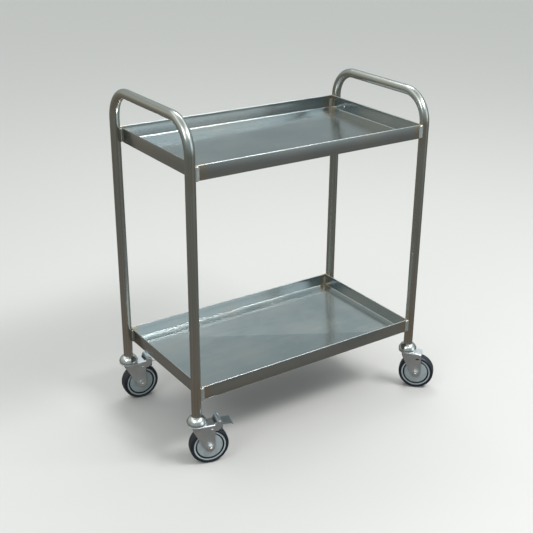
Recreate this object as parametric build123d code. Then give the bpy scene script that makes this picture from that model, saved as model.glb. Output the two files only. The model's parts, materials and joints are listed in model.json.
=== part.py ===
from build123d import *
import os

os.makedirs("parts", exist_ok=True)

# Two-shelf trolley: two bent-tube hoops, two pressed trays, four swivel stem casters.
# Millimetres, +Z up, floor at Z = 0. X runs along the trolley, Y across it.
# "left" is -X (the taller push handle, braked casters), "front" is -Y.

# ---------------------------------------------------------------- frame tube
HOOP_SPACING = 696.0        # between the two hoop planes, along X
LEG_SPACING = 374.0         # between the two legs of one hoop, along Y
TUBE_R = 12.5
TUBE_WALL = 1.5
BEND_R = 75.0               # centre-line radius of the handle bends
LEFT_HANDLE_Z = 877.0       # tube centre height of the push handle
RIGHT_HANDLE_Z = 853.5      # tube centre height of the lower end hoop
LEG_END_Z = 136.0           # where each leg meets its caster cap

# --------------------------------------------------------------------- trays
TRAY_HALF_X = 335.3         # end walls stand against the inboard side of the tubes
TRAY_HALF_Y = 193.0
TRAY_DEPTH = 37.0
SHEET = 1.2
HEM_DEPTH = 10.0            # folded safety edge along the inside of the rim
CORNER_R = 2.6
FOLD_R = 2.3
RIM_R = 1.1
TOP_RIM_Z = 779.0
LOWER_RIM_Z = 215.0
TAG_HOLE_R = 2.6            # small hole in the right end wall of the top tray
TAG_HOLE_Y = 131.0
TAG_HOLE_Z = 757.0

HAT_LENGTH = 610.0          # stiffening channel spot-welded under each tray
HAT_DEPTH = 11.0

# ------------------------------------------------------------------- casters
WHEEL_R = 50.0
TRAIL = 29.0                # axle behind the swivel axis
RIM_RING_R = 41.2           # hub rim, where the tyre sits
TYRE_HALF_W = 15.6
FORK_TOP_Z = 112.5
FORK_HALF_W = 19.0
FORK_T = 2.5
FORK_BACK_U = 42.0          # rear edge of the fork, measured from the swivel axis
STEM_R = 6.0
AXLE_R = 4.0
RUNNING = 0.05              # radial clearance of every turning fit
RACE_R = 17.0               # ball circle
BALL_R = 3.0
BALL_Z = 120.8
BALL_COUNT = 14

PEDAL_PIVOT = (53.0, 119.0)     # behind the swivel axis, above the floor
SHOE_CENTRE = (58.7, 98.3)
SHOE_R = 3.5
RIVET_AT = (34.0, 99.0)

# Corner name: (X sign, Y sign, rest yaw of the trailing wheel in degrees, braked)
CORNERS = {
    "front_left": (-1, -1, -16.0, True),
    "back_left": (-1, 1, -6.0, True),
    "front_right": (1, -1, -47.0, False),
    "back_right": (1, 1, -30.0, False),
}


# ------------------------------------------------------------------- helpers
def side_plate(outline, low, high):
    """Extrude an (u, z) face drawn on the XZ plane so that it spans Y = low..high."""
    return Pos(0, high, 0) * extrude(outline, amount=high - low)


def both_sides(solid):
    return [solid, mirror(solid, about=Plane.XZ)]


def turned(points):
    """Solid of revolution about Z from (radius, height) points."""
    return revolve(Plane.XZ * make_face(Polyline(*points, close=True)), Axis.Z)


def cross_rod(radius, low, high, at):
    """Round bar along Y through the point (u, z)."""
    return Pos(at[0], (low + high) / 2, at[1]) * Rot(90, 0, 0) * Cylinder(radius, high - low)


# --------------------------------------------------------------- hoops, trays
def hoop(x, handle_z):
    half = LEG_SPACING / 2
    path = FilletPolyline(
        (x, -half, LEG_END_Z), (x, -half, handle_z), (x, half, handle_z), (x, half, LEG_END_Z),
        radius=BEND_R,
    )
    ring = Circle(TUBE_R) - Circle(TUBE_R - TUBE_WALL)
    return sweep(Pos(x, -half, LEG_END_Z) * ring, path=path)


def rounded_block(inset, low, high, corner, fold):
    block = Box(2 * (TRAY_HALF_X - inset), 2 * (TRAY_HALF_Y - inset), high - low)
    block = Pos(0, 0, (low + high) / 2) * block
    block = fillet(block.edges().filter_by(Axis.Z), corner)
    return fillet(block.edges().group_by(Axis.Z)[0], fold) if fold else block


def tray(rim_z):
    base_z = rim_z - TRAY_DEPTH
    pan = rounded_block(0, base_z, rim_z, CORNER_R, FOLD_R)
    pan -= rounded_block(SHEET, base_z + SHEET, rim_z + 5, CORNER_R - SHEET, FOLD_R - SHEET)
    hem = rounded_block(SHEET, rim_z - HEM_DEPTH, rim_z, CORNER_R - SHEET, 0)
    hem -= rounded_block(2 * SHEET, rim_z - 2 * HEM_DEPTH, rim_z + 5, 0.6, 0)
    pan += hem
    return fillet(pan.edges().group_by(Axis.Z)[-1], RIM_R)


def tag_hole():
    return Pos(TRAY_HALF_X, TAG_HOLE_Y, TAG_HOLE_Z) * Rot(0, 90, 0) * Cylinder(TAG_HOLE_R, 12)


def hat_channel(rim_z):
    inner = [(-34, 0), (-18.5, 0), (-14.5, -HAT_DEPTH), (14.5, -HAT_DEPTH), (18.5, 0), (34, 0)]
    outer = [(34, -SHEET), (19.4, -SHEET), (15.4, -HAT_DEPTH - SHEET)]
    outer += [(-y, z) for y, z in reversed(outer)]
    profile = Plane.YZ * make_face(Polyline(*inner, *outer, close=True))
    return Pos(-HAT_LENGTH / 2, 0, rim_z - TRAY_DEPTH) * extrude(profile, amount=HAT_LENGTH)


def weld_bead(half_x, half_y, at, rim_z):
    """Upright run of weld with an oval section and rounded ends."""
    low, high = rim_z - TRAY_DEPTH - 1.0, rim_z - 0.6
    bead = extrude(Ellipse(half_x, half_y), amount=high - low)
    bead = fillet(bead.edges().group_by(Axis.Z)[0], 0.9)
    bead = fillet(bead.edges().group_by(Axis.Z)[-1], 0.9)
    return Pos(at[0], at[1], low) * bead


def corner_welds(rim_z, sheet_metal, tubes):
    """At every leg: one bead over the tray corner, one along the end wall."""
    beads = []
    for sign_x in (-1, 1):
        for sign_y in (-1, 1):
            leg_x, leg_y = HOOP_SPACING / 2, LEG_SPACING / 2
            spots = [
                weld_bead(6.6, 2.7, (leg_x - 14.4, leg_y + 6.2), rim_z),
                weld_bead(2.6, 3.4, (leg_x - 11.6, leg_y - 8.4), rim_z),
            ]
            for bead in spots:
                if sign_x < 0:
                    bead = mirror(bead, about=Plane.YZ)
                if sign_y < 0:
                    bead = mirror(bead, about=Plane.XZ)
                beads.append(bead - sheet_metal - tubes)
    return beads


# ------------------------------------------------------- caster, fixed pieces
def stem():
    shank = Pos(0, 0, 138.5) * Cylinder(STEM_R, 67.0)
    shank = chamfer(shank.edges().group_by(Axis.Z)[-1], 1.0)
    head = Pos(0, 0, 107.45) * Cylinder(9.5, 4.5)
    head = fillet(head.edges().group_by(Axis.Z)[0], 1.8)
    return shank + head


def leg_plug():
    """Steel bush that holds the stem inside the end of a leg."""
    bush = Pos(0, 0, 153.0) * (Cylinder(TUBE_R - TUBE_WALL - RUNNING, 30) - Cylinder(STEM_R + RUNNING, 30))
    return chamfer(bush.edges().group_by(Axis.Z)[-1], 0.6)


def ball_groove():
    return Pos(0, 0, BALL_Z) * Torus(RACE_R, BALL_R + 0.3)


def domed_cap():
    bore = STEM_R + RUNNING
    dome = Spline((13.4, LEG_END_Z), (17.6, 133.3), (22.9, 126.8), (25.3, 121.2))
    rest = Polyline(
        (25.3, 121.2), (25.3, 118.8), (23.9, 118.8), (23.9, 121.0), (22.4, 123.4),
        (bore, 123.4), (bore, LEG_END_Z), (13.4, LEG_END_Z),
    )
    cap = revolve(Plane.XZ * make_face(dome + rest), Axis.Z)
    return cap - ball_groove()


# ---------------------------------------------------- caster, swivelling pieces
def lower_race():
    bore = STEM_R + RUNNING
    top = 118.2
    ring = turned([
        (bore, FORK_TOP_Z), (24.6, FORK_TOP_Z), (25.1, FORK_TOP_Z + 0.5), (25.1, FORK_TOP_Z + 1.5),
        (24.2, FORK_TOP_Z + 2.1), (24.2, top - 0.7), (23.5, top), (bore, top),
    ])
    return ring - ball_groove()


def balls():
    spots = PolarLocations(RACE_R, BALL_COUNT)
    return [Pos(0, 0, BALL_Z) * spot * Sphere(BALL_R) for spot in spots]


def fork(braked):
    axle_z = WHEEL_R
    back_z = FORK_TOP_Z if braked else FORK_TOP_Z - 3.0
    outline = Polyline((17.53, 43.88), (-19.1, FORK_TOP_Z), (25, FORK_TOP_Z), (FORK_BACK_U, back_z),
                       (FORK_BACK_U, axle_z))
    round_end = ThreePointArc((FORK_BACK_U, axle_z), (32.14, 37.39), (17.53, 43.88))
    block = side_plate(Plane.XZ * make_face(outline + round_end), -FORK_HALF_W, FORK_HALF_W)
    top_edges = block.edges().filter_by(lambda e: abs(abs(e.center().Y) - FORK_HALF_W) < 0.01
                                        and e.center().Z > back_z - 0.1 and e.length > 5)
    block = fillet(top_edges, 4.0)

    gap = FORK_HALF_W - FORK_T
    roof = [(-40, 20), (-40, FORK_TOP_Z - FORK_T), (25, FORK_TOP_Z - FORK_T),
            (FORK_BACK_U + 8, back_z - FORK_T - (0 if braked else 1.4)), (FORK_BACK_U + 8, 20)]
    hollow = side_plate(Plane.XZ * make_face(Polyline(*roof, close=True)), -gap, gap)
    roof_edges = hollow.edges().filter_by(lambda e: abs(abs(e.center().Y) - gap) < 0.01
                                          and e.center().Z > 100 and e.length > 5
                                          and abs(e.tangent_at(0.5).Z) < 0.5)
    block -= fillet(roof_edges, 1.6)

    plan = RectangleRounded(2 * (FORK_BACK_U + 19.1), 2 * FORK_HALF_W, 12.0)
    plan = Pos(FORK_BACK_U, 0, 0) * extrude(plan, amount=200)
    block &= plan
    if braked:
        for ear in both_sides(side_plate(ear_outline(), gap, FORK_HALF_W)):
            block += ear
        block -= cross_rod(2.5 + RUNNING, -30, 30, PEDAL_PIVOT)
        block -= cross_rod(2.0 + RUNNING, -30, 30, RIVET_AT)
    else:
        slot = Plane.XZ * (Pos(31, 94.5) * SlotOverall(10.5, 4.2))
        block -= side_plate(slot, -30, 30)
    block -= cross_rod(AXLE_R + RUNNING, -30, 30, (TRAIL, axle_z))
    return block - Pos(0, 0, FORK_TOP_Z) * Cylinder(STEM_R + RUNNING, 20)


def ear_outline():
    """Brake bracket: the part of the fork side that runs back and up to the pedal pin."""
    u, z = PEDAL_PIVOT
    web = Polyline((34, 94.5), (49.5, 94.5), (57.2, 100.5), (59.5, z), (u, z + 2), (46.5, z),
                   (43.4, FORK_TOP_Z - 1), (40, FORK_TOP_Z - 6), (34, FORK_TOP_Z - 6), close=True)
    return Plane.XZ * (make_face(web) + Pos(u, z) * Circle(6.5))


def axle_set():
    """Bolt, nut and two washers."""
    bolt = cross_rod(AXLE_R, -28.6, 21.0, (TRAIL, WHEEL_R))
    bolt = chamfer(bolt.edges().group_by(Axis.Y)[0], 0.8)
    hexagon = Plane.XZ * (Pos(TRAIL, WHEEL_R) * RegularPolygon(6.5, 6, major_radius=False))
    bolt += side_plate(hexagon, 20.6, 26.1)
    nut = side_plate(hexagon, -27.1, -20.6) - cross_rod(AXLE_R + RUNNING, -40, 40, (TRAIL, WHEEL_R))
    disc = cross_rod(8.0, 19.0, 20.6, (TRAIL, WHEEL_R))
    disc -= cross_rod(AXLE_R + RUNNING, -40, 40, (TRAIL, WHEEL_R))
    return [bolt, nut, *both_sides(disc)]


def axle_sleeve():
    span = FORK_HALF_W - FORK_T - 0.1
    return cross_rod(STEM_R, -span, span, (TRAIL, WHEEL_R)) - cross_rod(
        AXLE_R + RUNNING, -40, 40, (TRAIL, WHEEL_R))


# -------------------------------------------------------------- caster, wheel
def wheel_turned(face):
    """Revolve a (radius, width) face about the axle and set it on the axle."""
    return Pos(TRAIL, 0, WHEEL_R) * revolve(face, Axis.Y)


def mirrored_profile(points):
    return points + [(r, -w) for r, w in reversed(points)]


def hub():
    half = [(STEM_R + RUNNING, 15.8), (11.0, 15.8), (11.0, 5.0), (36.4, 5.0), (36.8, 13.2),
            (37.4, 13.8), (40.8, 13.8), (RIM_RING_R, 13.4)]
    return wheel_turned(make_face(Polyline(*mirrored_profile(half), close=True)))


def thread_guards():
    skirt = make_face(Polyline((11.1, 12.6), (11.1, 14.0), (12.4, 14.9), (24.0, 14.6), (32.0, 13.8),
                               (33.2, 12.6), (33.2, 6.5), (31.8, 6.5), (31.8, 12.2), close=True))
    return both_sides(wheel_turned(skirt))


def tyre():
    seat = RIM_RING_R + RUNNING
    wall = [(seat, 13.2), (41.9, 15.0), (43.3, TYRE_HALF_W), (46.0, 15.1)]
    edge = Polyline(*wall) + ThreePointArc((46.0, 15.1), (48.7, 12.4), (49.6, 8.5))
    edge += ThreePointArc((49.6, 8.5), (WHEEL_R, 0), (49.6, -8.5))
    edge += ThreePointArc((49.6, -8.5), (48.7, -12.4), (46.0, -15.1))
    edge += Polyline(*[(r, -w) for r, w in reversed(wall)])
    edge += Line((seat, -13.2), (seat, 13.2))
    return wheel_turned(make_face(edge))


# -------------------------------------------------------------- caster, brake
def pedal():
    u, z = PEDAL_PIVOT
    strip = Plane.XZ * make_face(Polyline(
        (48.0, 110.0), (48.0, 124.0), (50.0, 126.6), (52.6, 126.2), (63.6, 111.2), (86.5, 110.2),
        (89.0, 106.8), (87.4, 105.7), (85.6, 108.2), (62.6, 109.2), (51.6, 123.6), (50.6, 124.0),
        (50.0, 123.2), (50.0, 110.0), close=True))
    body = side_plate(strip, -15.8, 15.8)
    foot = Plane.XZ * make_face(Polyline(
        (64.0, 111.18), (86.5, 110.2), (89.0, 106.8), (87.4, 105.7), (85.6, 108.2), (64.0, 109.14),
        close=True))
    body += side_plate(foot, -17.6, 17.6)
    cheek = make_face(Polyline((49.0, 111), (49.0, 124.2), (50.6, 125.2), (52.0, 124.8), (62.6, 110.4),
                               (62.0, 98.6), (55.4, 97.6), (52.0, 107.0), close=True))
    cheek = Plane.XZ * (cheek + Pos(u, z) * Circle(5.6) + Pos(*SHOE_CENTRE) * Circle(SHOE_R - 0.1))
    for flange in both_sides(side_plate(cheek, 13.8, 15.8)):
        body += flange
    body -= cross_rod(2.5 + RUNNING, -30, 30, PEDAL_PIVOT)
    return body - cross_rod(1.8 + RUNNING, -30, 30, SHOE_CENTRE)


def brake_shoe():
    return cross_rod(SHOE_R, -13.7, 13.7, SHOE_CENTRE) + cross_rod(1.8, -16.1, 16.1, SHOE_CENTRE)


def domed_pin(radius, head_r, inner, outer, at):
    """Rivet or pin along Y whose domed head stands on the face Y = outer."""
    rise = 1.5
    ball_r = (head_r ** 2 + rise ** 2) / (2 * rise)
    dome = Pos(at[0], outer + rise - ball_r, at[1]) * Sphere(ball_r)
    dome &= cross_rod(head_r, outer, outer + rise, at)
    return dome + cross_rod(radius, inner, outer, at)


def pedal_pin():
    half = domed_pin(2.5, 4.0, 0, FORK_HALF_W, PEDAL_PIVOT)
    return half + mirror(half, about=Plane.XZ)


def side_rivets():
    rivet = domed_pin(2.0, 3.6, FORK_HALF_W - FORK_T - 0.5, FORK_HALF_W, RIVET_AT)
    rivet += cross_rod(3.0, FORK_HALF_W - FORK_T - 0.5, FORK_HALF_W - FORK_T, RIVET_AT)
    return both_sides(rivet)


# ------------------------------------------------------------------ assembly
def placed_at(corner):
    sign_x, sign_y, yaw, _ = CORNERS[corner]
    return Pos(sign_x * HOOP_SPACING / 2, sign_y * LEG_SPACING / 2, 0) * Rot(0, 0, yaw)


def as_list(shape):
    return shape if isinstance(shape, list) else [shape]


def build_nodes():
    nodes = {
        "hoop_left": hoop(-HOOP_SPACING / 2, LEFT_HANDLE_Z),
        "hoop_right": hoop(HOOP_SPACING / 2, RIGHT_HANDLE_Z),
        "tray_top": tray(TOP_RIM_Z) - tag_hole(),
        "tray_lower": tray(LOWER_RIM_Z),
        "stiffener_top": hat_channel(TOP_RIM_Z),
        "stiffener_lower": hat_channel(LOWER_RIM_Z),
    }
    tubes = Compound(children=[
        Pos(sx * HOOP_SPACING / 2, sy * LEG_SPACING / 2, 450) * Cylinder(TUBE_R, 900)
        for sx, sy, _, _ in CORNERS.values()
    ])
    for name, rim_z in (("welds_top", TOP_RIM_Z), ("welds_lower", LOWER_RIM_Z)):
        tray_block = rounded_block(0, rim_z - TRAY_DEPTH - 1, rim_z + 3, CORNER_R, 0)
        nodes[name] = corner_welds(rim_z, tray_block, tubes)
    nodes["caster_stems"] = [placed_at(corner) * stem() for corner in CORNERS]
    nodes["leg_plugs"] = [placed_at(corner) * leg_plug() for corner in CORNERS]
    nodes["caster_caps"] = [placed_at(corner) * domed_cap() for corner in CORNERS]

    for corner, (_, _, _, braked) in CORNERS.items():
        pieces = {
            "fork": fork(braked), "race": lower_race(), "balls": balls(), "axle": axle_set(),
            "sleeve": axle_sleeve(), "hub": hub(), "tyre": tyre(), "guards": thread_guards(),
        }
        if braked:
            pieces.update({"rivets": side_rivets(), "pedal": pedal(), "pedal_pin": pedal_pin(),
                           "brake_shoe": brake_shoe()})
        for name, shape in pieces.items():
            nodes[f"{name}_{corner}"] = [placed_at(corner) * item for item in as_list(shape)]
    return nodes


nodes = {name: Compound(children=as_list(shape)) for name, shape in build_nodes().items()}
middle = Compound(children=list(nodes.values())).bounding_box().center()
to_origin = Pos(-middle.X, -middle.Y, 0)
for name, shape in nodes.items():
    solids = [to_origin * solid for solid in shape.solids()]
    export_step(solids[0] if len(solids) == 1 else Compound(children=solids), f"parts/{name}.step")
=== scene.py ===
"""Looks of the rolling two-tray trolley: satin stainless tube and sheet, zinc plated casters, pale studio."""
import json
import math
import random

import bmesh
import bpy
from mathutils import Matrix, Vector


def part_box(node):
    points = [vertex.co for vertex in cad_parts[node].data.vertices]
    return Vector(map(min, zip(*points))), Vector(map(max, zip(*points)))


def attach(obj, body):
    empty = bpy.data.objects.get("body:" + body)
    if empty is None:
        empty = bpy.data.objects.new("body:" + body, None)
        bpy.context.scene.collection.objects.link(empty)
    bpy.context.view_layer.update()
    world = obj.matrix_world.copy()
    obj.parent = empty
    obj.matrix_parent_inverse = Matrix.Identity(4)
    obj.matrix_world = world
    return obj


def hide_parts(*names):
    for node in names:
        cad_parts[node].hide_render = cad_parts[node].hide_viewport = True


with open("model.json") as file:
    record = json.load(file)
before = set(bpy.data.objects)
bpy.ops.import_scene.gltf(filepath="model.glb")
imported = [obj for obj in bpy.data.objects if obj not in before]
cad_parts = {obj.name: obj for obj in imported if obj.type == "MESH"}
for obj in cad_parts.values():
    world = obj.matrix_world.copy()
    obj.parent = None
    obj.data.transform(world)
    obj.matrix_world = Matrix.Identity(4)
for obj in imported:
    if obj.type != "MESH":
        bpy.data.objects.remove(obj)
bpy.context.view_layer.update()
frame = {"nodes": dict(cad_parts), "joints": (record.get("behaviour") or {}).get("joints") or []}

NODES = frame["nodes"]

# ---------------------------------------------------------------- node helpers


class Tree:
    """A node tree, with short calls that add and join its nodes."""

    def __init__(self, tree):
        self.tree = tree

    def add(self, kind, **settings):
        node = self.tree.nodes.new(kind)
        for key, value in settings.items():
            setattr(node, key, value)
        return node

    def link(self, source, target):
        self.tree.links.new(source, target)

    def place(self, scale=(1, 1, 1), source="Object", turn=0):
        """Coordinates in metres, turned and stretched: the object's own, or the UV map along a sheet."""
        coords = self.add("ShaderNodeTexCoord")
        mapping = self.add("ShaderNodeMapping")
        mapping.inputs["Rotation"].default_value = (0, 0, math.radians(turn))
        mapping.inputs["Scale"].default_value = scale
        self.link(coords.outputs[source], mapping.inputs["Vector"])
        return mapping.outputs["Vector"]

    def split(self, source="Object"):
        """The X, Y and Z of those coordinates, as a node's outputs."""
        coords = self.add("ShaderNodeTexCoord")
        parts = self.add("ShaderNodeSeparateXYZ")
        self.link(coords.outputs[source], parts.inputs["Vector"])
        return parts.outputs

    def noise(self, vector, scale, detail=4.0, rough=0.55):
        node = self.add("ShaderNodeTexNoise")
        node.inputs["Scale"].default_value = scale
        node.inputs["Detail"].default_value = detail
        node.inputs["Roughness"].default_value = rough
        self.link(vector, node.inputs["Vector"])
        return node.outputs["Fac"]

    def ramp(self, factor, *stops):
        """Colour ramp: stops are (position, (r, g, b)) or (position, grey)."""
        node = self.add("ShaderNodeValToRGB")
        elements = node.color_ramp.elements
        while len(elements) < len(stops):
            elements.new(0.5)
        for element, (position, colour) in zip(elements, stops):
            colour = (colour,) * 3 if isinstance(colour, (int, float)) else colour
            element.position = position
            element.color = (*colour, 1)
        self.link(factor, node.inputs["Fac"])
        return node.outputs["Color"]

    def spread(self, factor, low, high):
        """factor from 0..1 to low..high."""
        node = self.add("ShaderNodeMapRange")
        node.inputs["To Min"].default_value = low
        node.inputs["To Max"].default_value = high
        self.link(factor, node.inputs["Value"])
        return node.outputs["Result"]

    def fade(self, value, none, full):
        """0 where value is none, 1 where it is full, and smooth between."""
        node = self.add("ShaderNodeMapRange", interpolation_type="SMOOTHSTEP")
        node.inputs["From Min"].default_value = none
        node.inputs["From Max"].default_value = full
        self.link(value, node.inputs["Value"])
        return node.outputs["Result"]

    def math(self, operation, a, b=0.0):
        node = self.add("ShaderNodeMath", operation=operation)
        for socket, value in zip(node.inputs, (a, b)):
            if isinstance(value, (int, float)):
                socket.default_value = value
            else:
                self.link(value, socket)
        return node.outputs["Value"]

    def distance(self, value, centre):
        """How far value is from centre, without its sign."""
        return self.math("ABSOLUTE", self.math("SUBTRACT", value, centre))

    def mix(self, factor, a, b, blend="MIX"):
        node = self.add("ShaderNodeMix", data_type="RGBA", blend_type=blend)
        for socket, value in zip((node.inputs[0], node.inputs[6], node.inputs[7]), (factor, a, b)):
            if isinstance(value, (int, float)):
                socket.default_value = value
            elif isinstance(value, tuple):
                socket.default_value = (*value, 1)
            else:
                self.link(value, socket)
        return node.outputs[2]


class Shader(Tree):
    """One material, with calls that set its surface."""

    def __init__(self, name):
        self.material = bpy.data.materials.new(name)
        self.material.use_nodes = True
        super().__init__(self.material.node_tree)
        self.surface = self.tree.nodes["Principled BSDF"]

    def set(self, **values):
        """Uniform values on the surface shader's own sockets."""
        for key, value in values.items():
            self.surface.inputs[key.replace("_", " ")].default_value = value

    def scuffs(self, turn, scale):
        """0..1 along scattered long thin scratches at that angle."""
        lines = self.noise(self.place((scale * 0.25, scale * 22, 1), "UV", turn), 1.0, 3.0)
        patches = self.noise(self.place((1, 1, 1), "UV"), scale * 0.4, 2.0)
        worn = self.math("MULTIPLY", lines, self.spread(patches, 0.6, 1.4))
        return self.ramp(worn, (0.6, 0.0), (0.76, 1.0))

    def bump(self, height, strength, distance=0.0005):
        node = self.add("ShaderNodeBump")
        node.inputs["Strength"].default_value = strength
        node.inputs["Distance"].default_value = distance
        self.link(height, node.inputs["Height"])
        self.link(node.outputs["Normal"], self.surface.inputs["Normal"])

    def colour(self, socket):
        self.link(socket, self.surface.inputs["Base Color"])

    def roughness(self, socket):
        self.link(socket, self.surface.inputs["Roughness"])


# ---------------------------------------------------------------- materials

HEAT_FROM, HEAT_TO = 0.046, 0.018       # the bloom's outer edge and its full strength, from the weld's middle
WEAR_FROM, WEAR_TO = 0.0035, 0.0008     # the same for wear, below a tray's rim


def weld_heat(s):
    """0..1 round the welds, where the heat has left a straw coloured bloom on the steel."""
    hoops_low, hoops_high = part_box("hoop_left")[0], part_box("hoop_right")[1]
    trays = [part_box("tray_top"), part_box("tray_lower")]
    corner, height = trays[0][1], trays[0][1].z - trays[0][0].z
    middle = (hoops_low + hoops_high) / 2
    here = s.split()
    from_x = s.distance(s.distance(here["X"], middle.x), corner.x - middle.x)
    from_y = s.distance(s.distance(here["Y"], middle.y), corner.y - middle.y)
    from_z = s.math("MINIMUM", *[
        s.math("MAXIMUM", s.math("SUBTRACT", s.distance(here["Z"], (low.z + high.z) / 2), height / 2))
        for low, high in trays])
    join = s.add("ShaderNodeCombineXYZ")
    for socket, value in zip(join.inputs, (from_x, from_y, from_z)):
        s.link(value, socket)
    length = s.add("ShaderNodeVectorMath", operation="LENGTH")
    s.link(join.outputs["Vector"], length.inputs[0])
    wobble = s.math("MULTIPLY", s.noise(s.place(), 60.0, 3.0), 0.02)
    return s.fade(s.math("ADD", length.outputs["Value"], wobble), HEAT_FROM, HEAT_TO)


def rim_wear(s):
    """0..1 in patches along the rims of the two trays, where things are slid over them."""
    height = s.split()["Z"]
    gaps = [s.distance(height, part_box(tray)[1].z) for tray in ("tray_top", "tray_lower")]
    patches = s.ramp(s.noise(s.place(), 13.0, 3.0), (0.3, 0.35), (0.68, 1.0))
    return s.math("MULTIPLY", s.fade(s.math("MINIMUM", *gaps), WEAR_FROM, WEAR_TO), patches)


LEG_REFLECTION_FROM, LEG_REFLECTION_TO = 0.62, 0.16   # heights between which the tubes are painted browner, a painted reflection of the warm dark studio below


def tube_material():
    s = Shader("satin_tube")
    s.set(Metallic=1.0)
    drift = s.noise(s.place((1, 1, 0.35)), 9.0, 3.0)
    band = s.noise(s.place((190, 2.5, 1), "UV"), 1.0, 2.0)
    streak = s.noise(s.place((1900, 9, 1), "UV"), 1.0, 3.0)
    floor_reflection = s.fade(s.split()["Z"], LEG_REFLECTION_FROM, LEG_REFLECTION_TO)
    tint = s.ramp(drift, (0.32, (0.52, 0.57, 0.55)), (0.52, (0.60, 0.61, 0.58)), (0.7, (0.58, 0.57, 0.52)))
    # painted reflection: the tubes turn browner towards the floor, standing in for the warm dark studio
    # mirrored in them
    tint = s.mix(s.math("MULTIPLY", floor_reflection, 0.6), tint, (0.66, 0.58, 0.51))
    tint = s.mix(s.spread(band, -0.4, 0.95), tint, (0.36, 0.395, 0.375))
    tint = s.mix(s.math("MULTIPLY", weld_heat(s), 0.45), tint, (0.50, 0.42, 0.29))
    s.colour(s.mix(s.spread(streak, 0.0, 0.25), tint, (0.34, 0.36, 0.35)))
    s.roughness(s.spread(streak, 0.13, 0.32))
    s.bump(streak, 0.08)
    return s.material


def sheet_material():
    s = Shader("bright_sheet")
    s.set(Metallic=1.0)
    grain = s.noise(s.place((6, 1500, 1), "UV"), 1.0, 4.0)
    roll = s.noise(s.place((3, 60, 1), "UV"), 1.0, 3.0)
    smudge = s.noise(s.place(), 7.0, 5.0, 0.6)
    buckle = s.noise(s.place(), 5.0, 1.0)
    tint = s.ramp(smudge, (0.3, (0.43, 0.48, 0.49)), (0.55, (0.49, 0.52, 0.52)), (0.75, (0.53, 0.52, 0.48)))
    tint = s.mix(s.spread(roll, -0.2, 0.5), tint, (0.38, 0.42, 0.43))
    tint = s.mix(s.math("MULTIPLY", weld_heat(s), 0.65), tint, (0.58, 0.46, 0.31))
    scuff = s.math("MAXIMUM", s.scuffs(17, 33), s.scuffs(-8, 21))
    tint = s.mix(s.math("MULTIPLY", scuff, 0.25), tint, (0.60, 0.64, 0.65))
    s.colour(s.mix(s.spread(grain, 0.0, 0.2), tint, (0.36, 0.39, 0.40)))
    fine = s.math("ADD", s.spread(smudge, 0.02, 0.18), s.spread(grain, 0.0, 0.12))
    worn = s.math("ADD", s.math("MULTIPLY", scuff, 0.08), s.math("MULTIPLY", rim_wear(s), 0.22))
    s.roughness(s.math("ADD", fine, worn))
    s.bump(s.math("ADD", s.math("MULTIPLY", grain, 0.06), s.math("MULTIPLY", buckle, 3.0)), 0.25)
    return s.material


def weld_material():
    s = Shader("weld_metal")
    s.set(Metallic=1.0)
    lumps = s.noise(s.place(), 420.0, 3.0)
    s.colour(s.ramp(lumps, (0.3, (0.5, 0.55, 0.56)), (0.7, (0.72, 0.76, 0.76))))
    s.roughness(s.spread(lumps, 0.28, 0.5))
    s.bump(lumps, 0.5)
    return s.material


def zinc_material(name, dark, light, smooth, rough):
    s = Shader(name)
    s.set(Metallic=1.0)
    spangle = s.noise(s.place(), 160.0, 4.0)
    cloud = s.noise(s.place(), 28.0, 3.0)
    tint = s.ramp(cloud, (0.3, dark), (0.6, light))
    s.colour(s.mix(s.spread(spangle, 0.0, 0.3), tint, tuple(0.85 * c for c in dark)))
    s.roughness(s.spread(spangle, smooth, rough))
    s.bump(spangle, 0.1)
    return s.material


def chrome_material():
    s = Shader("bright_chrome")
    s.set(Metallic=1.0)
    haze = s.noise(s.place(), 90.0, 4.0)
    s.colour(s.ramp(haze, (0.3, (0.60, 0.64, 0.64)), (0.7, (0.68, 0.70, 0.69))))
    s.roughness(s.spread(haze, 0.05, 0.16))
    s.bump(haze, 0.03)
    return s.material


def plastic_material(name, dark, light):
    s = Shader(name)
    grain = s.noise(s.place(), 900.0, 3.0)
    dust = s.noise(s.place(), 45.0, 4.0)
    s.colour(s.ramp(dust, (0.3, dark), (0.7, light)))
    s.roughness(s.spread(dust, 0.34, 0.55))
    s.bump(grain, 0.12, 0.0003)
    return s.material


def rubber_material():
    s = Shader("tyre_rubber")
    grain = s.noise(s.place(), 1400.0, 3.0)
    dust = s.noise(s.place(), 60.0, 5.0)
    s.colour(s.ramp(dust, (0.35, (0.006, 0.010, 0.018)), (0.7, (0.014, 0.020, 0.031))))
    s.roughness(s.spread(dust, 0.30, 0.50))
    s.bump(grain, 0.2, 0.0003)
    return s.material


def wheel_axle(corner):
    """The wheel's centre and axle direction, from its joint."""
    joint = next(j for j in frame["joints"] if j["name"] == "spin_" + corner)
    return Vector(joint["pos_m"]), Vector(joint["axis"]).normalized()


RING_FROM = 0.0372          # the hub's light ring starts at this radius


def light_rim(name, node, rim):
    """The hub's outer ring is a lighter grey than its core; the core's dark grey is partly the plastic's own
    and partly painted shade for the deep groove inside the ring.
    """
    centre, axle = wheel_axle(name.removeprefix("hub_"))
    node.data.materials.append(rim)
    for face in node.data.polygons:
        out = face.center - centre
        if (out - axle * out.dot(axle)).length > RING_FROM:
            face.material_index = 1


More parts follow.
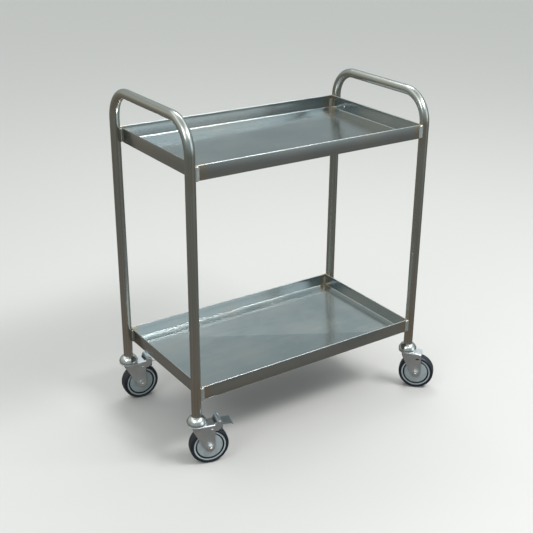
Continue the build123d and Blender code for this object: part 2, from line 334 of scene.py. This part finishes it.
def paint_nodes(tube, sheet, weld, zinc, chrome, rubber):
    rim = plastic_material("hub_ring", (0.33, 0.385, 0.41), (0.42, 0.47, 0.49))
    # dark core: partly the plastic's own grey, partly painted shade in the hub's deep groove; the leg plugs
    # share it
    hub = plastic_material("hub_core_and_groove_shade", (0.045, 0.055, 0.058), (0.07, 0.08, 0.083))
    bright = zinc_material("bright_zinc", (0.88, 0.91, 0.92), (0.95, 0.96, 0.95), 0.2, 0.3)
    blued = zinc_material("blued_zinc", (0.62, 0.76, 0.85), (0.74, 0.84, 0.90), 0.3, 0.46)
    disc = plastic_material("guard_disc", (0.25, 0.295, 0.315), (0.32, 0.36, 0.375))
    by_start = {
        "hoop": tube, "tray": sheet, "stiffener": sheet, "welds": weld, "caster_stems": zinc,
        "leg_plugs": hub, "caster_caps": chrome, "fork": zinc, "race": zinc, "balls": chrome, "axle": bright,
        "sleeve": zinc, "hub": hub, "tyre": rubber, "guards": disc, "rivets": bright, "pedal_pin": bright,
        "pedal": blued, "brake_shoe": rubber}
    for name, node in NODES.items():
        start = max((key for key in by_start if name.startswith(key)), key=len)
        node.data.materials.clear()
        node.data.materials.append(by_start[start])
        if start == "hub":
            light_rim(name, node, rim)


# ---------------------------------------------------------------- mesh helpers


def piece_from(name, mesh_data, material, body, smooth=40.0):
    """A mesh object from a bmesh, smooth across edges flatter than that angle, riding on body."""
    mesh = bpy.data.meshes.new(name)
    bmesh.ops.recalc_face_normals(mesh_data, faces=mesh_data.faces)
    mesh_data.to_mesh(mesh)
    mesh_data.free()
    mesh.shade_smooth()
    mesh.set_sharp_from_angle(angle=math.radians(smooth))
    mesh.materials.append(material)
    piece = bpy.data.objects.new(name, mesh)
    bpy.context.scene.collection.objects.link(piece)
    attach(piece, body)
    return piece


def skin_rings(build, rings, lengths, closed_round=True, caps=(True, True)):
    """Faces between successive rings of points, with a UV layer in metres.

    rings is a list of equally long point lists. lengths gives each ring's own V, and U runs round the ring.
    """
    uv = build.loops.layers.uv.verify()
    rows = [[build.verts.new(p) for p in ring] for ring in rings]
    count = len(rows[0])
    around = [[0.0] for _ in rows]
    for row, marks in zip(rings, around):
        for k in range(count):
            marks.append(marks[-1] + (Vector(row[(k + 1) % count]) - Vector(row[k])).length)
    for i in range(len(rows) - 1):
        for k in range(count if closed_round else count - 1):
            n = (k + 1) % count
            face = build.faces.new((rows[i][k], rows[i][n], rows[i + 1][n], rows[i + 1][k]))
            corners = ((around[i][k], lengths[i]), (around[i][k + 1], lengths[i]),
                       (around[i + 1][k + 1], lengths[i + 1]), (around[i + 1][k], lengths[i + 1]))
            for loop, place in zip(face.loops, corners):
                loop[uv].uv = place
    for wanted, row in zip(caps, (rows[0], rows[-1])):
        if wanted:
            face = build.faces.new(row)
            for loop in face.loops:
                loop[uv].uv = (loop.vert.co.x, loop.vert.co.y)
    return rows


# ---------------------------------------------------------------- hoops

BEND_RADIUS = 0.075
TUBE_SIDES = 56
BEND_STEPS = 26
BEND_SQUASH = 0.025         # how much the tube flattens in the middle of a bend


def hoop_path(x, y_low, y_high, z_low, z_high):
    """Centre points, tangents and squash of an upside-down U, from leg end to leg end."""
    points = [(Vector((x, y_low, z_low)), Vector((0, 0, 1)), 0.0)]
    for y, start in ((y_low + BEND_RADIUS, math.pi), (y_high - BEND_RADIUS, math.pi / 2)):
        for k in range(BEND_STEPS + 1):
            turn = start - math.pi / 2 * k / BEND_STEPS
            out = Vector((0, math.cos(turn), math.sin(turn)))
            squash = BEND_SQUASH * math.sin(math.pi * k / BEND_STEPS)
            centre = Vector((x, y, z_high - BEND_RADIUS)) + out * BEND_RADIUS
            points.append((centre, Vector((0, out.z, -out.y)), squash))
    points.append((Vector((x, y_high, z_low)), Vector((0, 0, -1)), 0.0))
    return points


def make_hoop(node, material):
    low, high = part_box(node)
    radius = (high.x - low.x) / 2
    path = hoop_path((low.x + high.x) / 2, low.y + radius, high.y - radius, low.z, high.z - radius)
    rings, lengths, length = [], [], 0.0
    for i, (centre, tangent, squash) in enumerate(path):
        if i:
            length += (centre - path[i - 1][0]).length
        side = Vector((1, 0, 0))
        out = side.cross(tangent)
        ring = []
        for k in range(TUBE_SIDES):
            turn = 2 * math.pi * k / TUBE_SIDES
            across = out * radius * (1 - squash) * math.sin(turn)
            ring.append(centre + side * radius * math.cos(turn) + across)
        rings.append(ring)
        lengths.append(length)
    build = bmesh.new()
    skin_rings(build, rings, lengths)
    hoop = piece_from(node + "_tube", build, material, "frame")
    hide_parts(node)


# ---------------------------------------------------------------- trays

SHEET = 0.0012
CORNER_RADIUS, CORNER_LEAST = 0.0026, 0.0006    # of an upright edge, outside and at the least inside
CORNER_STEPS = 6
FOLD_RADIUS = 0.0023
INNER_FOLD_EXTRA = 0.0008   # the inside of the fold is that much rounder than the sheet's thickness asks for
HEM_DEPTH = 0.010
HEM_BURR = 0.0003           # how far the hem's cut edge reaches below it


def arc(centre, radius, start, stop, steps):
    for k in range(steps + 1):
        turn = math.radians(start + (stop - start) * k / steps)
        yield (centre[0] + radius * math.cos(turn), centre[1] + radius * math.sin(turn))


def tray_section(depth):
    """Points (distance in from the outer wall, height): up the wall, over the hem and down to the floor."""
    inner_fold = FOLD_RADIUS - SHEET + INNER_FOLD_EXTRA
    section = list(arc((FOLD_RADIUS, FOLD_RADIUS), FOLD_RADIUS, 270, 180, 5))
    section += list(arc((SHEET, depth - SHEET), SHEET, 180, 0, 8))
    section += [(2 * SHEET, depth - HEM_DEPTH), (1.6 * SHEET, depth - HEM_DEPTH - HEM_BURR),
                (SHEET, depth - HEM_DEPTH - HEM_BURR)]
    section += list(arc((SHEET + inner_fold, SHEET + inner_fold), inner_fold, 180, 270, 5))
    return section


def rounded_ring(half_x, half_y, radius, z):
    ring = []
    for sign_x, sign_y, start in ((1, 1, 0), (-1, 1, 90), (-1, -1, 180), (1, -1, 270)):
        centre = (sign_x * (half_x - radius), sign_y * (half_y - radius))
        ring += [(x, y, z) for x, y in arc(centre, radius, start, start + 90, CORNER_STEPS)]
    return ring


def make_tray(node, material):
    low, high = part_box(node)
    middle = (low + high) / 2
    half_x, half_y = (high.x - low.x) / 2, (high.y - low.y) / 2
    section = tray_section(high.z - low.z)
    rings, lengths, length = [], [], 0.0
    for i, (inset, height) in enumerate(section):
        if i:
            length += math.dist(section[i], section[i - 1])
        radius = max(CORNER_RADIUS - inset, CORNER_LEAST)
        ring = rounded_ring(half_x - inset, half_y - inset, radius, low.z + height)
        rings.append([Vector(p) + Vector((middle.x, middle.y, 0)) for p in ring])
        lengths.append(length)
    build = bmesh.new()
    skin_rings(build, rings, lengths)
    tray = piece_from(node + "_sheet", build, material, "frame")
    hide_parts(node)
    return tray


TAG_HOLE_RADIUS = 0.0026
TAG_HOLE_IN = 0.062         # from the back long side
TAG_HOLE_DOWN = 0.022       # below the rim
DRILL_LENGTH = 0.02
DRILL_SIDES = 32


def cut_tag_hole(tray, node):
    """The small round hole in the right end wall."""
    low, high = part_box(node)
    build = bmesh.new()
    bmesh.ops.create_cone(build, cap_ends=True, segments=DRILL_SIDES, radius1=TAG_HOLE_RADIUS,
                          radius2=TAG_HOLE_RADIUS, depth=DRILL_LENGTH)
    bmesh.ops.rotate(build, verts=build.verts, matrix=Matrix.Rotation(math.pi / 2, 3, "Y"))
    place = Vector((high.x, high.y - TAG_HOLE_IN, high.z - TAG_HOLE_DOWN))
    bmesh.ops.translate(build, verts=build.verts, vec=place)
    mesh = bpy.data.meshes.new("drill")
    build.to_mesh(mesh)
    build.free()
    drill = bpy.data.objects.new("drill", mesh)
    bpy.context.scene.collection.objects.link(drill)
    cut = tray.modifiers.new("hole", "BOOLEAN")
    cut.object = drill
    cut.operation = "DIFFERENCE"
    cut.solver = "EXACT"
    graph = bpy.context.evaluated_depsgraph_get()
    result = bpy.data.meshes.new_from_object(tray.evaluated_get(graph))
    tray.modifiers.clear()
    tray.data = result
    bpy.data.objects.remove(drill)


# ---------------------------------------------------------------- welds

RIPPLE_PITCH = 0.0021
RIPPLE_STEPS = 6            # rings in each ripple
RIPPLE_DEPTH = 0.13         # how much narrower a ripple is at its top, as a share
BEAD_SIDES = 20
BEAD_END = 0.003            # length over which a bead rounds off at either end
BEAD_SWAY = 0.0003
BEAD_DROOP = 0.0009


def ripple_bead(build, centre, half_x, half_y, z_low, z_high, draw):
    """One upright weld run: an oval bead whose ripples lap over each other like scales."""
    ripples = int((z_high - z_low) / RIPPLE_PITCH)
    steps = ripples * RIPPLE_STEPS
    rings, lengths = [], []
    sway = [draw.uniform(-BEAD_SWAY, BEAD_SWAY) for _ in range(ripples + 2)]
    for i in range(steps + 1):
        along = i / steps
        height = z_low + (z_high - z_low) * along
        ripple = 1 - RIPPLE_DEPTH * ((i % RIPPLE_STEPS) / RIPPLE_STEPS) ** 1.6
        end = min(along, 1 - along) * (z_high - z_low) / BEAD_END
        close = math.sqrt(max(0.02, 2 * end - end ** 2)) if end < 1 else 1.0
        shift = sway[i // RIPPLE_STEPS]
        ring = []
        for k in range(BEAD_SIDES):
            turn = 2 * math.pi * k / BEAD_SIDES
            droop = BEAD_DROOP * math.cos(turn) ** 2
            ring.append((centre[0] + shift + half_x * ripple * close * math.cos(turn),
                         centre[1] + half_y * ripple * close * math.sin(turn), height - droop))
        rings.append(ring)
        lengths.append(height)
    skin_rings(build, rings, lengths)


# the two runs at every leg, over the tray's corner and along its end wall: how far in from the leg's axis,
# how far out to the side of it, and the bead's half widths
WELD_RUNS = ((0.0144, 0.0062, 0.0064, 0.0025), (0.0116, -0.0084, 0.0024, 0.0032))
WELD_ABOVE, WELD_BELOW = 0.0005, 0.0012     # clear of the tray's underside and of its rim


def make_welds(node, tray_node, material, draw):
    """Two ripple beads at every leg."""
    low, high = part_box(tray_node)
    build = bmesh.new()
    for hoop in ("hoop_left", "hoop_right"):
        hoop_low, hoop_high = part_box(hoop)
        radius = (hoop_high.x - hoop_low.x) / 2
        leg_x = (hoop_low.x + hoop_high.x) / 2
        out = 1 if leg_x > 0 else -1
        for leg_y, side in ((hoop_low.y + radius, -1), (hoop_high.y - radius, 1)):
            for inward, sideways, half_x, half_y in WELD_RUNS:
                ripple_bead(build, (leg_x - out * inward, leg_y + side * sideways), half_x, half_y,
                            low.z + WELD_ABOVE, high.z - WELD_BELOW, draw)
    welds = piece_from(node + "_beads", build, material, "frame", 60.0)
    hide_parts(node)


# ---------------------------------------------------------------- stage, light and camera

FLOOR_SIZE = 400            # so large that its edge is the horizon


def make_stage():
    """A pale floor. It doesn't mirror in the steel, so that the metal shows the darker half of the studio."""
    bpy.ops.mesh.primitive_plane_add(size=FLOOR_SIZE, location=(0, 0, 0))
    floor = bpy.context.object
    floor.name = "floor"
    s = Shader("pale_floor")
    s.set(Base_Color=(0.62, 0.61, 0.60, 1), Roughness=0.75)
    floor.data.materials.append(s.material)
    floor.visible_glossy = False


AIM = Vector((0, 0, 0.5))   # what every soft box points at


def soft_box(name, place, size, power):
    light = bpy.data.lights.new(name, "AREA")
    light.shape = "RECTANGLE"
    light.size, light.size_y = size
    light.energy = power
    lamp = bpy.data.objects.new(name, light)
    lamp.location = place
    lamp.rotation_mode = "QUATERNION"
    lamp.rotation_quaternion = (AIM - Vector(place)).to_track_quat("-Z", "Y")
    bpy.context.scene.collection.objects.link(lamp)


# the sky's colour at each height, from 0 straight below over 0.5 at the horizon to 1 overhead
SKY = (
    (0.0, (0.15, 0.135, 0.115)), (0.25, (0.20, 0.185, 0.165)), (0.36, (0.155, 0.155, 0.145)),
    (0.47, (0.23, 0.25, 0.24)), (0.56, (0.33, 0.37, 0.375)), (0.65, (0.38, 0.435, 0.445)),
    (0.77, (0.44, 0.505, 0.51)), (0.85, (1.2, 1.27, 1.28)), (0.91, (1.3, 1.35, 1.35)),
    (0.97, (0.62, 0.66, 0.66)))
# broad zones of light and dark, warm and cool, so that round and flat steel read apart
ZONES = ((0.34, (0.52, 0.50, 0.47)), (0.5, (1.0, 1.0, 1.0)), (0.66, (1.42, 1.36, 1.18)))
# glows (direction, falloff, colour): a bright low one on the front right, which lightens the trays'
# back walls, and a faint warm one behind
GLOWS = (((0.58, -0.78, 0.23), 24, (1.15, 1.26, 1.32)), ((-0.56, 0.78, 0.28), 7, (0.13, 0.075, 0.02)))


def make_light():
    """A soft studio: dark below, grey at the horizon and brighter above, with three soft boxes."""
    world = bpy.data.worlds.new("studio")
    bpy.context.scene.world = world
    world.use_nodes = True
    t = Tree(world.node_tree)
    height = t.add("ShaderNodeMapRange")
    height.inputs["From Min"].default_value = -1.0
    t.link(t.split("Generated")["Z"], height.inputs["Value"])
    sky = t.ramp(height.outputs["Result"], *SKY)
    zones = t.ramp(t.noise(t.place((1, 1, 0.22), "Generated"), 2.6, 2.0, 0.5), *ZONES)
    light = t.mix(0.35, sky, zones, "MULTIPLY")
    for towards, falloff, colour in GLOWS:
        facing = t.add("ShaderNodeVectorMath", operation="DOT_PRODUCT")
        facing.inputs[1].default_value = towards
        t.link(t.add("ShaderNodeTexCoord").outputs["Generated"], facing.inputs[0])
        near = t.math("POWER", t.math("MAXIMUM", facing.outputs["Value"]), falloff)
        light = t.mix(near, light, colour, "ADD")
    t.link(light, t.tree.nodes["Background"].inputs["Color"])
    soft_box("key", (1.15, -1.9, 3.2), (1.5, 0.7), 75)
    soft_box("fill", (-2.3, -0.9, 2.4), (1.0, 1.4), 14)
    soft_box("rim", (0.9, 1.3, 3.2), (1.6, 0.9), 18)


CAMERA_PLACE = Vector((-1.35684, -1.92991, 1.41368))
CAMERA_TURN, CAMERA_DROP, CAMERA_ROLL = math.radians(53.46), math.radians(-23.74), math.radians(1.43)
CAMERA_LENS, CAMERA_SENSOR, CAMERA_SHIFT = 64.18, 36.0, (-0.0720, 0.0092)


def make_camera():
    """The camera stands front left of the trolley, looking down at it, with a long lens."""
    forward = Vector((math.cos(CAMERA_DROP) * math.cos(CAMERA_TURN),
                      math.cos(CAMERA_DROP) * math.sin(CAMERA_TURN), math.sin(CAMERA_DROP)))
    level = Vector((math.sin(CAMERA_TURN), -math.cos(CAMERA_TURN), 0))
    upright = level.cross(forward)
    right = level * math.cos(CAMERA_ROLL) + upright * math.sin(CAMERA_ROLL)
    up = upright * math.cos(CAMERA_ROLL) - level * math.sin(CAMERA_ROLL)
    axes = Matrix((right, up, -forward)).transposed()
    data = bpy.data.cameras.new("camera")
    data.sensor_width = CAMERA_SENSOR
    data.lens = CAMERA_LENS
    data.shift_x, data.shift_y = CAMERA_SHIFT
    camera = bpy.data.objects.new("camera", data)
    camera.matrix_world = Matrix.Translation(CAMERA_PLACE) @ axes.to_4x4()
    bpy.context.scene.collection.objects.link(camera)
    bpy.context.scene.camera = camera


bpy.context.scene.view_settings.view_transform = "Standard"
make_camera()
make_stage()
make_light()

draw = random.Random(7)
tube, sheet, weld = tube_material(), sheet_material(), weld_material()
zinc = zinc_material("zinc_plate", (0.66, 0.71, 0.76), (0.80, 0.82, 0.83), 0.34, 0.52)
chrome, rubber = chrome_material(), rubber_material()
paint_nodes(tube, sheet, weld, zinc, chrome, rubber)
for node in ("hoop_left", "hoop_right"):
    make_hoop(node, tube)
cut_tag_hole(make_tray("tray_top", sheet), "tray_top")
make_tray("tray_lower", sheet)
make_welds("welds_top", "tray_top", weld, draw)
make_welds("welds_lower", "tray_lower", weld, draw)
